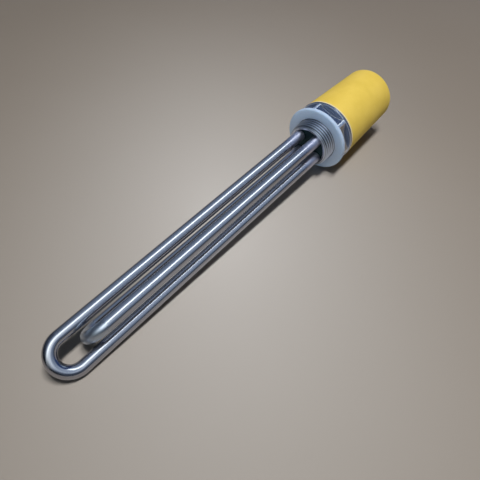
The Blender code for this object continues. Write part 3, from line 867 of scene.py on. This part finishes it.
def makeNuts():
    for name, station, node in (("lowerNuts", "lowerNut", "lower_nut"),
                                ("upperNuts", "upperNut", "upper_nut")):
        piece = onLegs(name, nutMaster(stations[station]))
        smooth(piece, 25.0)
        finishPiece(piece, "heater", "zinc_plate", *numbered(node))


washer = {"radius": 0.0045, "thickness": 0.0008, "steps": 48}


def makeWashers():
    front = stations["washer"]
    rear = front - washer["thickness"]
    bore = terminals["boreRadius"]
    radius = washer["radius"]
    edge = terminals["edge"]
    points = [(bore, rear + edge), (bore, front - edge), (bore + edge, front),
              (radius - edge, front), (radius, front - edge), (radius, rear + edge),
              (radius - edge, rear), (bore + edge, rear)]
    master = turnOnLathe("washerMaster", points, washer["steps"], closed=True)
    piece = onLegs("flatWashers", master)
    smooth(piece, 30.0)
    finishPiece(piece, "heater", "zinc_plate", *numbered("flat_washer"))


springWasher = {"radius": 0.0038, "thickness": 0.0009, "split": radians(16), "steps": 44,
                "rise": 0.00016, "squash": 0.84, "softEdge": 0.00012, "softAbove": 50.0}


def makeSpringWashers():
    # A split ring whose ends stand a little off each other
    w = springWasher
    bore = terminals["boreRadius"]
    section = [(bore, 0.0), (w["radius"], 0.0), (w["radius"], -w["thickness"]),
               (bore, -w["thickness"])]

    def sweep(shape):
        rings = []
        for step in range(w["steps"] + 1):
            share = step / w["steps"]
            angle = w["split"] / 2 + (tau - w["split"]) * share
            front = stations["spring"] + (share - 1.0) * w["rise"]
            rings.append([shape.verts.new((front + along * w["squash"], radius * cos(angle),
                                           radius * sin(angle))) for radius, along in section])
        for first, second in zip(rings, rings[1:]):
            for side in range(4):
                other = (side + 1) % 4
                shape.faces.new((first[side], first[other], second[other], second[side]))
        shape.faces.new(rings[0])
        shape.faces.new(reversed(rings[-1]))
        bmesh.ops.recalc_face_normals(shape, faces=shape.faces)

    master = soften(solid("springMaster", sweep), w["softEdge"], w["softAbove"])
    piece = onLegs("springWashers", master)
    smooth(piece, 30.0)
    finishPiece(piece, "heater", "zinc_plate", *numbered("spring_washer"))


def makeLinks():
    # Two straps, each across two neighbouring studs. A stud is as far from the strap's middle as
    # that middle is from the axis.
    t = terminals
    half = legs["circle"] * cos(pi / 4)
    end = t["linkWidth"] / 2
    edge = t["linkEdge"]

    def loop(curve, points):
        spline = curve.splines.new("POLY")
        spline.points.add(len(points) - 1)
        for point, (x, y) in zip(spline.points, points):
            point.co = (x, y, 0.0, 1.0)
        spline.use_cyclic_u = True

    def circle(radius, y, start=0.0, turn=tau, steps=40):
        count = steps if turn == tau else steps + 1
        angles = [start + turn * step / steps for step in range(count)]
        return [(radius * cos(angle), y + radius * sin(angle)) for angle in angles]

    curve = bpy.data.curves.new("strapMaster", "CURVE")
    curve.dimensions = "2D"
    curve.fill_mode = "BOTH"
    curve.extrude = t["linkThickness"] / 2 - edge
    curve.bevel_depth = edge
    curve.bevel_resolution = 2
    curve.offset = -edge
    loop(curve, circle(end, half, 0.0, pi) + circle(end, -half, pi, pi))
    for side in (1, -1):
        loop(curve, circle(t["boreRadius"], side * half))
    blank = bpy.data.objects.new("strapBlank", curve)
    scene.collection.objects.link(blank)
    bpy.context.view_layer.update()
    evaluated = blank.evaluated_get(bpy.context.evaluated_depsgraph_get())
    mesh = bpy.data.meshes.new_from_object(evaluated)
    bpy.data.objects.remove(blank, do_unlink=True)
    mesh.transform(Matrix.Rotation(pi / 2, 4, "X") @ Matrix.Rotation(pi / 2, 4, "Y"))
    tidyMesh(mesh)
    master = bpy.data.objects.new("strapMaster", mesh)
    scene.collection.objects.link(master)
    station = stations["link"] - t["linkThickness"] / 2
    straps = onLegs("linkStraps", master, station, 2, legs["firstRoll"] + pi / 4, half)
    smooth(straps, 30.0)
    return finishPiece(straps, "heater", "brass_strap", "link_1", "link_2")


earth = {"gap": 0.0003, "depth": 0.0060, "shank": 0.0015, "tip": 0.0013, "tipLength": 0.0004,
         "head": 0.00275, "headHeight": 0.0020, "headEdge": 0.00025, "headRound": 0.0006,
         "saw": (0.0020, 0.0008, 0.0070), "washerBore": 0.0018, "washerRadius": 0.0030,
         "washerThickness": 0.0005, "washerEdge": 0.0001, "steps": 48, "softEdge": 0.00006,
         "softAbove": 40.0}


def makeEarthScrew():
    e = earth
    washerFront = stations["wellFloor"] - e["gap"]
    washerRear = washerFront - e["washerThickness"]
    front = washerRear - e["gap"]
    rear = front - e["headHeight"]
    end = stations["wellFloor"] + e["depth"]
    points = [(0.0, end), (e["tip"], end), (e["shank"], end - e["tipLength"]), (e["shank"], front),
              (e["head"] - e["headEdge"], front), (e["head"], front - e["headEdge"])]
    points += arc(e["head"] - e["headRound"], rear + e["headRound"], e["headRound"], 0, -90, 6)
    points += [(0.0, rear)]
    screw = turnOnLathe("earthScrew", points, e["steps"])
    slotMiddle = Matrix.Translation((rear, 0.0, 0.0)) @ Matrix.Rotation(legs["firstRoll"], 4, "X")
    cut(screw, [block("slotSaw", e["saw"], slotMiddle)])
    soften(screw, e["softEdge"], e["softAbove"])
    smooth(screw, 30.0)
    finishPiece(screw, "heater", "brass_strap", "earth_screw")
    radius = e["washerRadius"]
    edge = e["washerEdge"]
    points = [(e["washerBore"], washerRear), (e["washerBore"], washerFront),
              (radius - edge, washerFront), (radius, washerFront - edge),
              (radius, washerRear + edge), (radius - edge, washerRear)]
    washerPiece = turnOnLathe("earthWasher", points, e["steps"], closed=True)
    smooth(washerPiece, 30.0)
    finishPiece(washerPiece, "heater", "brass_strap", "earth_washer")


makeStuds()
makeBeads()
makeSeals()
makeNuts()
makeWashers()
makeSpringWashers()
makeLinks()
makeEarthScrew()
print("terminals fitted")


# Cap

cap = {"bore": 0.02147, "outer": 0.02347, "end": 0.02127, "corner": 0.0045, "wall": 0.0020,
       "boreStep": 0.0001, "boreEdge": 0.0002, "lipRound": 0.0005, "steps": 180}


def makeCap():
    s = stations
    c = cap
    floor = s["capEnd"] + c["wall"]
    inner = c["corner"] - c["wall"]
    boreRear = s["spigotRear"] - c["boreEdge"]
    points = [(0.0, floor)]
    points += arc(c["end"] - c["corner"], floor + inner, inner, -90, 0, 6)
    points += [(c["bore"] - c["boreStep"], boreRear - c["boreStep"]), (c["bore"], boreRear)]
    points += [(c["bore"], s["capMouth"] - c["boreEdge"]), (c["bore"] + c["boreEdge"], s["capMouth"])]
    points += arc(c["outer"] - c["lipRound"], s["capMouth"] - c["lipRound"], c["lipRound"], 90, 0, 5)
    points += arc(c["end"] - c["corner"], s["capEnd"] + c["corner"], c["corner"], 0, -90, 14)
    points += [(0.0, s["capEnd"])]
    piece = turnOnLathe("terminalCap", points, c["steps"])
    smooth(piece, 40.0)
    return finishPiece(piece, "cap", "yellow_plastic", "terminal_cap")


makeCap()
print("cap moulded")


# CAD nodes that stay get their finishes

for name in ("long_element_magnesia", "short_element_magnesia"):
    nodes[name].data.materials.clear()
    nodes[name].data.materials.append(finishes["packed_magnesia"])


# Floor, lamp and world

floorPlane = {"height": -0.02475, "slope": 0.0623, "size": 3.0, "colour": (0.560, 0.518, 0.465),
              "far": (0.236, 0.194, 0.150), "centre": (0.099, -0.011, 0.0), "turn": radians(-46),
              "reach": (0.35, 0.61, 10.0), "easing": 2.55, "mottle": 0.04, "roughness": 0.6}


def makeFloor():
    # The floor is palest under the heater and darkens outwards to the edge of an oval, a painted pool
    # of light
    tilt = floorPlane["slope"]
    half = floorPlane["size"] / 2
    floor = solid("floor", lambda shape: bmesh.ops.create_grid(
        shape, x_segments=1, y_segments=1, size=half))
    for vertex in floor.data.vertices:
        vertex.co.z = floorPlane["height"] + vertex.co.x * tilt
    finish, shader, start = newFinish("paleFloor", floorPlane["colour"], floorPlane["roughness"], 0.0)
    place = objectPlace(start)
    clouds = noise(start, place, 9.0, 2.0, 0.5)
    fitted = start.add("ShaderNodeMapping", {"vector_type": "TEXTURE"},
                       {"Vector": place, "Location": floorPlane["centre"],
                        "Scale": floorPlane["reach"], "Rotation": (0.0, 0.0, floorPlane["turn"])})
    away = start.add("ShaderNodeVectorMath", {"operation": "LENGTH"}, {0: fitted}, "Value")
    paintedFalloff = 1 - start.sum("POWER", 1 - away.within(0.0, 1.0), floorPlane["easing"])
    paintedFalloff = paintedFalloff + (clouds - 0.5) * floorPlane["mottle"]
    link(shader, "Base Color", mixColours(paintedFalloff, floorPlane["colour"], floorPlane["far"]))
    floor.data.materials.append(finish)


makeFloor()


lamp = {"angle": 81.5, "height": 1.2, "length": 0.45, "width": 0.15, "power": 15.0,
        "colour": (0.97, 0.99, 1.04)}


def makeLamp():
    # A strip above the heater, parallel to its axis. Polished metal sees the world instead.
    data = bpy.data.lights.new("stripLamp", "AREA")
    data.shape = "RECTANGLE"
    data.size = lamp["length"]
    data.size_y = lamp["width"]
    data.energy = lamp["power"]
    data.color = lamp["colour"]
    strip = bpy.data.objects.new("stripLamp", data)
    angle = radians(lamp["angle"])
    strip.location = (0.0, lamp["height"] * cos(angle), lamp["height"] * sin(angle))
    strip.rotation_euler = (angle - pi / 2, 0.0, 0.0)
    strip.visible_glossy = False
    scene.collection.objects.link(strip)


makeLamp()


# What polished metal sees of the studio. The brightness is given round the heater's axis, from the
# camera's side at 0 degrees over the top to the far side at 180, once for the half beyond the
# loops and once for the half behind the cap, and each fades along the axis. Matt surfaces get the
# plainer light of "ambient" and "front", and the camera sees the backdrop.
world = {"ahead": ((0, 0.07), (30, 0.10), (36, 0.35), (40, 0.88), (44, 1.25), (52, 1.32),
                   (62, 1.75), (68, 2.10), (71, 3.20), (82, 3.20), (86, 1.70), (92, 1.15),
                   (100, 0.55), (110, 0.28), (120, 0.15), (135, 0.09), (180, 0.06)),
         "behind": ((0, 0.08), (10, 0.14), (20, 0.25), (30, 0.41), (50, 0.62), (60, 0.66),
                    (70, 0.74), (77, 1.00), (80, 5.2), (88, 5.2), (91, 1.20), (99, 0.72),
                    (108, 0.54), (120, 0.36), (150, 0.30), (160, 0.20), (180, 0.10)),
         "change": (-0.12, 0.0), "fadeAhead": (0.26, 0.98), "leastAhead": 0.10,
         "fadeBehind": (-0.685, -0.655), "outside": (0.045, 0.09, 0.23),
         "ambient": (0.010, 0.010, 0.011), "front": (1.5, 1.9, 2.4), "frontEdge": (0.62, 0.92),
         "frontTop": (0.36, 0.14), "backdrop": (0.33, 0.30, 0.26), "brightLevel": 1.5,
         "dimTint": (0.75, 1.0, 1.42), "brightTint": (0.92, 1.0, 1.02)}


def studioColour(level):
    # Dim parts of the studio are bluer than bright ones
    bright = min(level / world["brightLevel"], 1.0)
    return tuple(level * (dim + (full - dim) * bright)
                 for dim, full in zip(world["dimTint"], world["brightTint"]))


def studioRound(roll, levels):
    stops = [(angle / 180.0, studioColour(level)) for angle, level in levels]
    return roll.add("ShaderNodeValToRGB", {"stops": stops}, {"Fac": roll}, "Color")


def makeWorld():
    studio = bpy.data.worlds.new("studio")
    scene.world = studio
    studio.use_nodes = True
    background = studio.node_tree.nodes["Background"]
    start = Wire(studio.node_tree)
    direction = start.add("ShaderNodeTexCoord", None, None, "Generated")
    roll = start.sum("ARCTAN2", direction.axis(2), direction.axis(1)) / pi
    along = direction.axis(0)
    ahead = mixColours(along.ramp(*world["fadeAhead"], 0.0, 1.0 - world["leastAhead"]),
                       studioRound(roll, world["ahead"]), (0.0, 0.0, 0.0))
    behind = mixColours(along.ramp(*world["fadeBehind"]), world["outside"],
                        studioRound(roll, world["behind"]))
    seen = mixColours(along.ramp(*world["change"]), behind, ahead)
    lowAhead = along.ramp(*world["frontEdge"]) * direction.axis(2).ramp(*world["frontTop"])
    plain = mixColours(lowAhead, world["ambient"], world["front"])
    polished = start.add("ShaderNodeLightPath", None, None, "Is Glossy Ray")
    colour = mixColours(polished, plain, seen)
    looked = start.add("ShaderNodeLightPath", None, None, "Is Camera Ray")
    colour = mixColours(looked, colour, world["backdrop"])
    start.tree.links.new(colour.socket, background.inputs["Color"])


makeWorld()
print("floor, lamp and world set")
